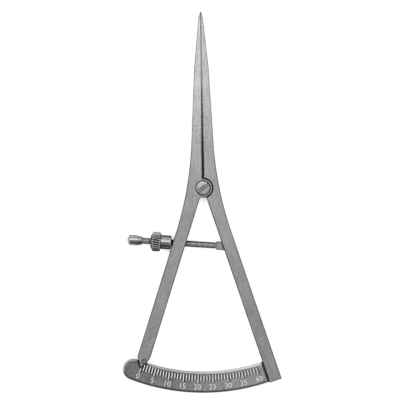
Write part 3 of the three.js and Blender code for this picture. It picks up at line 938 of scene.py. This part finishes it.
def threaded_rod():
    """A spigot in the block, then a helical thread that fades out at both ends."""
    start, end, radius = along_spindle("spindle_rod")
    shoulder = along_spindle("swivel_block")[1] + PLAY
    rows = [ring([ROD_SPIGOT] * THREAD_STEPS, start), ring([ROD_SPIGOT] * THREAD_STEPS, shoulder)]
    samples = int((end - shoulder) / THREAD_PITCH * THREAD_SAMPLES)
    for sample in range(samples + 1):
        height = shoulder + (end - shoulder) * sample / samples
        fade = min(1.0, (height - shoulder) / THREAD_PITCH, (end - height) / THREAD_PITCH)
        radii = []
        for step in range(THREAD_STEPS):
            phase = (height / THREAD_PITCH - step / THREAD_STEPS) % 1.0
            flank = min(1.0, max(0.0, THREAD_SLOPE * abs(phase - 0.5) - THREAD_CREST))
            radii.append(radius - THREAD_DEPTH * (1 - fade) - THREAD_DEPTH * fade * flank)
        rows.append(ring(radii, height))
    piece = linked("threaded_rod", ringed_mesh("threaded_rod", rows))
    piece.data.shade_smooth()
    piece.data.set_sharp_from_angle(angle=THREAD_ANGLE)
    piece.data.materials.append(
        turned_steel("threaded rod steel", SPINDLE, ROD_GREYS, ROD_ROUGHNESS, **ROD_SHADE_MASKS)
    )
    settled(piece, SPINDLE)
    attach(piece, "spindle")
    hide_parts("spindle_rod")


def is_square_rim(edge):
    """True for an outer edge between a level face and a steep one."""
    if not edge.is_convex:
        return False
    leans = sorted(abs(face.normal.z) for face in edge.link_faces)
    return leans[0] < STEEP and leans[-1] > LEVEL


def round_square_rims(mesh, width):
    """Rounds the rims that the solid has square."""
    work = bmesh.new()
    work.from_mesh(mesh)
    rims = [edge for edge in work.edges if is_square_rim(edge)]
    bmesh.ops.bevel(
        work, geom=rims, offset=width, offset_type="OFFSET", segments=BLOCK_STEPS,
        profile=BLOCK_PROFILE, affect="EDGES", clamp_overlap=False, loop_slide=False,
    )
    work.to_mesh(mesh)
    work.free()


def milled_block():
    """The block in the right leg, with its rims rounded."""
    mesh = in_millimetres("swivel_block")
    round_square_rims(mesh, BLOCK_EDGE)
    walls_apart(mesh)
    piece = linked("swivel_block_steel", mesh)
    for part, dark, light in BLOCK_GREYS_SHADED_RIMS:
        greys = ((dark,) * 3, (light,) * 3)
        piece.data.materials.append(
            satin_steel(f"swivel block {part}", RIGHT, greys, BLOCK_ROUGHNESS)
        )
    settled(piece)
    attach(piece, "spindle")
    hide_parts("swivel_block")


def turned_piece(source, name, body, profile, cyclic=False):
    """A bright turned piece on the spindle, with its edges broken."""
    piece = linked(name, turned_mesh(name, profile, TURNED_STEPS, cyclic))
    round_edges(piece, TURNED_EDGE)
    piece.data.materials.append(
        turned_steel(
            f"{name} surface", SPINDLE, TURNED_GREYS, TURNED_ROUGHNESS, TURNED_RELIEF,
            **TURNED_SHADE_MASKS,
        )
    )
    settled(piece, SPINDLE)
    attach(piece, body)
    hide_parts(source)


def end_cap():
    """Neck, taper and head, with a blind bore for the rod."""
    start, end, radius = along_spindle("end_cap")
    rod_end, rod_radius = along_spindle("spindle_rod")[1:]
    bore = rod_radius + PLAY
    floor = rod_end + PLAY
    neck = radius * CAP_NECK_SHARE
    swell = neck + (radius - neck) * CAP_SWELL_SHARE
    profile = [(0, floor), (bore, floor), (bore, start), (neck, start)]
    profile += [(swell, start + CAP_SWELL_RUN), (radius, start + CAP_TAPER)]
    profile += [(radius, end - CAP_SHOULDER), (radius - CAP_CONE_DROP, end - CAP_CONE_START)]
    profile += [(CAP_NIB_RADIUS, end - CAP_NIB_RUN), (0, end)]
    turned_piece("end_cap", "end_cap_steel", "spindle", profile)


threaded_rod()
milled_block()
end_cap()

# The thumb nut and its sleeve: the smooth sleeve bears on the left leg, and the knurled wheel
# behind it is turned with finger and thumb. Both are turned bright, and the ridges lean a little.
SLEEVE_CONE_DROP = 0.16
SLEEVE_CONE_RUN = 0.14
RIDGES = 24
RIDGE_SAMPLES = 10
RIDGE_DEPTH = 0.42
RIDGE_POWER = 1.2
RIDGE_LEAN = math.radians(10.5)
RIDGE_ANGLE = math.radians(40)
WHEEL_ROWS = 30
WHEEL_EDGE = 0.4
WHEEL_CONE = (0.8, 1.5)
WHEEL_PLAY = 0.01
WHEEL_GREYS = ((0.52, 0.53, 0.54), (0.64, 0.65, 0.66))
WHEEL_ROUGHNESS = (0.16, 0.3)
WHEEL_RELIEF = 0.25
WHEEL_SHADE_MASKS = {"edge_share": 0.0, "Open_Share": 0.94, "Shut_Share": 0.55}


def nut_sleeve():
    """A short tube with one end bevelled, towards the leg."""
    start, end, radius = along_spindle("nut_sleeve")
    bore = along_spindle("spindle_rod")[2] + PLAY
    profile = [(bore, start), (radius - SLEEVE_CONE_DROP, start), (radius, start + SLEEVE_CONE_RUN)]
    profile += [(radius, end), (bore, end)]
    turned_piece("nut_sleeve", "nut_sleeve_steel", "sleeve", profile, cyclic=True)


def ridged(turn, height, length, radius):
    """The wheel's radius at a turn and height: rounded ridges that fade into the rims."""
    phase = (turn - RIDGE_LEAN * height / length) * RIDGES / (2 * math.pi) % 1.0
    groove = (0.5 - 0.5 * math.cos(2 * math.pi * phase)) ** RIDGE_POWER
    cone_run, cone_drop = WHEEL_CONE
    near = radius - max(0.0, WHEEL_EDGE - height)
    far = radius - max(0.0, cone_run - (length - height)) * cone_drop / cone_run
    return min(radius - RIDGE_DEPTH * groove, near, far)


def thumb_nut():
    """A ridged wheel with a bore, a narrow rim on the near side and a long cone on the far one."""
    start, end, radius = along_spindle("thumb_nut")
    radius -= WHEEL_PLAY
    bore = along_spindle("spindle_rod")[2] + PLAY
    length = end - start
    steps = RIDGES * RIDGE_SAMPLES
    turns = [2 * math.pi * step / steps for step in range(steps)]
    rows = [ring([bore] * steps, start)]
    for row in range(WHEEL_ROWS + 1):
        height = length * row / WHEEL_ROWS
        rows.append(ring([ridged(t, height, length, radius) for t in turns], start + height))
    rows.append(ring([bore] * steps, end))
    piece = linked("thumb_nut_steel", ringed_mesh("thumb_nut_steel", rows, cyclic=True))
    piece.data.shade_smooth()
    piece.data.set_sharp_from_angle(angle=RIDGE_ANGLE)
    piece.data.materials.append(
        turned_steel(
            "thumb nut steel", SPINDLE, WHEEL_GREYS, WHEEL_ROUGHNESS, WHEEL_RELIEF, **WHEEL_SHADE_MASKS
        )
    )
    settled(piece, SPINDLE)
    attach(piece, "nut")
    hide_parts("thumb_nut")


nut_sleeve()
thumb_nut()

# The table: a plain pale sheet under the tool. It looks white from above and in reflections, with
# painted shadow where the tool shuts it in, and takes a part of the tool's shadow.
TABLE_SIZE = 4.0
TABLE_GAP = 0.00005
TABLE_GREY = (0.9, 0.9, 0.9, 1.0)
TABLE_GLOW = 0.93
TABLE_LEVEL = 1.04
WHITE = (1.0, 1.0, 1.0, 1.0)
SEEN_REACH = 0.005
SEEN_SHARES = (0.28, 0.36)
MIRRORED_REACH = 0.03
MIRRORED_SHARES = (0.86, 1.0)


def seen_or_mirrored(tree):
    """1 for what the camera sees, or sees in or through something shiny."""
    path = node(tree, "ShaderNodeLightPath")
    seen = math_node(tree, "MAXIMUM", path.outputs["Is Camera Ray"], path.outputs["Is Glossy Ray"])
    return math_node(tree, "MAXIMUM", seen, path.outputs["Is Transmission Ray"])


def mixed(tree, share, first, second):
    """The first value where the share is 0, and the second where it is 1."""
    made = node(tree, "ShaderNodeMix")
    for label, value in (("Factor", share), ("A", first), ("B", second)):
        feed(tree, made.inputs[label], value)
    return made.outputs[0]


def table_level(tree, reach, shares):
    """The table's glow, with painted shadow by how far the things around it shut it in."""
    clear = node(tree, "ShaderNodeAmbientOcclusion")
    clear.inputs["Distance"].default_value = reach
    return ranged(tree, clear.outputs["AO"], 0.0, TABLE_LEVEL, shares)


def pale_table():
    """Matt for light, and a plain glow for what looks at it."""
    material = bpy.data.materials.new("pale table")
    material.use_nodes = True
    tree = material.node_tree
    tree.nodes.clear()
    end = node(tree, "ShaderNodeOutputMaterial")
    matt = node(tree, "ShaderNodeBsdfDiffuse")
    matt.inputs["Color"].default_value = TABLE_GREY
    glow = node(tree, "ShaderNodeEmission")
    glow.inputs["Color"].default_value = WHITE
    seen = table_level(tree, SEEN_REACH, SEEN_SHARES)
    mirrored = table_level(tree, MIRRORED_REACH, MIRRORED_SHARES)
    camera_ray = node(tree, "ShaderNodeLightPath").outputs["Is Camera Ray"]
    tree.links.new(mixed(tree, camera_ray, mirrored, seen), glow.inputs["Strength"])
    share = math_node(tree, "MULTIPLY", seen_or_mirrored(tree), TABLE_GLOW)
    mix = node(tree, "ShaderNodeMixShader")
    tree.links.new(share, mix.inputs[0])
    tree.links.new(matt.outputs[0], mix.inputs[1])
    tree.links.new(glow.outputs[0], mix.inputs[2])
    tree.links.new(mix.outputs[0], end.inputs["Surface"])
    return material


half = TABLE_SIZE / 2
table_top = cad_low.z - TABLE_GAP
sheet = [(x, y, table_top) for x, y in ((-half, -half), (half, -half), (half, half), (-half, half))]
table_mesh = bpy.data.meshes.new("table")
table_mesh.from_pydata(sheet, [], [(0, 1, 2, 3)])
table = linked("table", table_mesh)
table.data.materials.append(pale_table())

# The light: a white room, a soft light tent that is brightest a little beyond straight above, dark
# on the near side and plain at both sides, and one soft lamp from the upper right.
ROOM_LEVELS = (0.45, 1.0)
TENT_RADIUS = 1.5
TENT_RINGS = 24
TENT_STEPS = 64
TENT_TOP = 2.0
# Degrees along the tool from straight above, and the tent's level there
TENT_LEVELS = [
    (-90, 0.12),
    (-64, 0.05),
    (-50, 0.07),
    (-32, 0.22),
    (-17, 0.27),
    (-9, 0.29),
    (0, 0.28),
    (4, 0.33),
    (8, 0.84),
    (12, 1.26),
    (17, 1.43),
    (28, 1.2),
    (45, 0.75),
    (70, 0.42),
    (90, 0.5),
]
TENT_SIDE = 0.85
TENT_ASIDE = (0.3, 0.55)
TENT_ASIDE_LEVEL = 0.8
TENT_PLAIN = 0.9
LAMP_PLACE = (0.35, 0.45, 0.75)
LAMP_SIZE = 0.3
LAMP_POWER = 2.0


def room_light():
    """A plain white room, at less than half its level for matt things."""
    world = bpy.data.worlds.new("white room")
    bpy.context.scene.world = world
    world.use_nodes = True
    tree = world.node_tree
    background = tree.nodes["Background"]
    background.inputs["Color"].default_value = WHITE
    strength = ranged(tree, seen_or_mirrored(tree), *ROOM_LEVELS)
    tree.links.new(strength, background.inputs["Strength"])


def tent_curve(tree, lean):
    """The tent's level by its lean along the tool from straight above, in radians."""
    share = math_node(tree, "MULTIPLY_ADD", lean, 1 / math.pi, 0.5)
    curve = node(tree, "ShaderNodeFloatCurve")
    points = curve.mapping.curves[0].points
    for angle, level in TENT_LEVELS[1:-1]:
        points.new(angle / 180 + 0.5, level / TENT_TOP)
    points[0].location = (0, TENT_LEVELS[0][1] / TENT_TOP)
    points[-1].location = (1, TENT_LEVELS[-1][1] / TENT_TOP)
    curve.mapping.update()
    tree.links.new(share, curve.inputs["Value"])
    return curve.outputs[0]


def tent_glow():
    """Brightness by direction: along the tool by a curve, a little more on the left.

    Far out at both sides it is one level, and matt things get one plain level from all around.
    """
    material = bpy.data.materials.new("light tent")
    material.use_nodes = True
    tree = material.node_tree
    tree.nodes.clear()
    end = node(tree, "ShaderNodeOutputMaterial")
    glow = node(tree, "ShaderNodeEmission")
    away = node(tree, "ShaderNodeVectorMath", operation="NORMALIZE")
    tree.links.new(tool_place(tree), away.inputs[0])
    parts = split(tree, away.outputs[0])
    level = tent_curve(tree, math_node(tree, "ARCSINE", parts["Y"]))
    side = math_node(tree, "MULTIPLY_ADD", parts["X"], -TENT_SIDE, 1.0)
    level = math_node(tree, "MULTIPLY", level, side)
    level = math_node(tree, "MULTIPLY", level, TENT_TOP)
    out = math_node(tree, "ABSOLUTE", parts["X"])
    aside = ranged(tree, out, 0.0, 1.0, TENT_ASIDE, interpolation_type="SMOOTHSTEP")
    level = mixed(tree, aside, level, TENT_ASIDE_LEVEL)
    diffuse_ray = node(tree, "ShaderNodeLightPath").outputs["Is Diffuse Ray"]
    tree.links.new(mixed(tree, diffuse_ray, level, TENT_PLAIN), glow.inputs["Strength"])
    tree.links.new(glow.outputs[0], end.inputs["Surface"])
    return material


def light_tent():
    """A dome of cloth over the tool, which the camera looks through."""
    work = bmesh.new()
    rings = []
    for row in range(TENT_RINGS + 1):
        lean = math.pi / 2 * row / TENT_RINGS
        points = ring([TENT_RADIUS * math.cos(lean)] * TENT_STEPS, TENT_RADIUS * math.sin(lean))
        rings.append([work.verts.new(point) for point in points])
    for lower, upper in zip(rings, rings[1:]):
        for step in range(TENT_STEPS):
            after = (step + 1) % TENT_STEPS
            work.faces.new((lower[step], upper[step], upper[after], lower[after]))
    tent = linked("light tent", meshed(work, "light tent"))
    tent.visible_camera = False
    tent.visible_shadow = False
    tent.data.materials.append(tent_glow())


def soft_lamp():
    """A square lamp that looks at the joint and isn't mirrored."""
    light = bpy.data.lights.new("upper right lamp", "AREA")
    light.size = LAMP_SIZE
    light.energy = LAMP_POWER
    lamp = linked("upper right lamp", light)
    lamp.location = LAMP_PLACE
    lamp.rotation_euler = (-Vector(LAMP_PLACE)).to_track_quat("-Z", "Y").to_euler()
    lamp.visible_glossy = False


room_light()
light_tent()
soft_lamp()

# The camera looks straight down on the tool, which lies a degree askew in the picture. The joint
# is a little right of the middle and above it.
PIXEL = 0.3706
PICTURE = 400
JOINT_PIXEL = (203.1, 188.0)
CAMERA_REACH = 0.38
CAMERA_ROLL = math.radians(0.82)
FACE_HEIGHT = 0.004
SENSOR = 36
CLIP_START = 0.01

camera_data = bpy.data.cameras.new("camera")
camera = linked("camera", camera_data)
camera_data.sensor_width = SENSOR
camera_data.lens = SENSOR * CAMERA_REACH / (PICTURE * PIXEL * MM)
camera_data.clip_start = CLIP_START
right = Vector((math.cos(CAMERA_ROLL), -math.sin(CAMERA_ROLL), 0))
up = Vector((math.sin(CAMERA_ROLL), math.cos(CAMERA_ROLL), 0))
aside = (JOINT_PIXEL[0] - PICTURE / 2) * PIXEL * MM
above = (PICTURE / 2 - JOINT_PIXEL[1]) * PIXEL * MM
middle = -aside * right - above * up
camera.location = middle + Vector((0, 0, FACE_HEIGHT + CAMERA_REACH))
camera.rotation_euler = (0, 0, -CAMERA_ROLL)
bpy.context.scene.camera = camera
bpy.context.scene.view_settings.view_transform = "Standard"
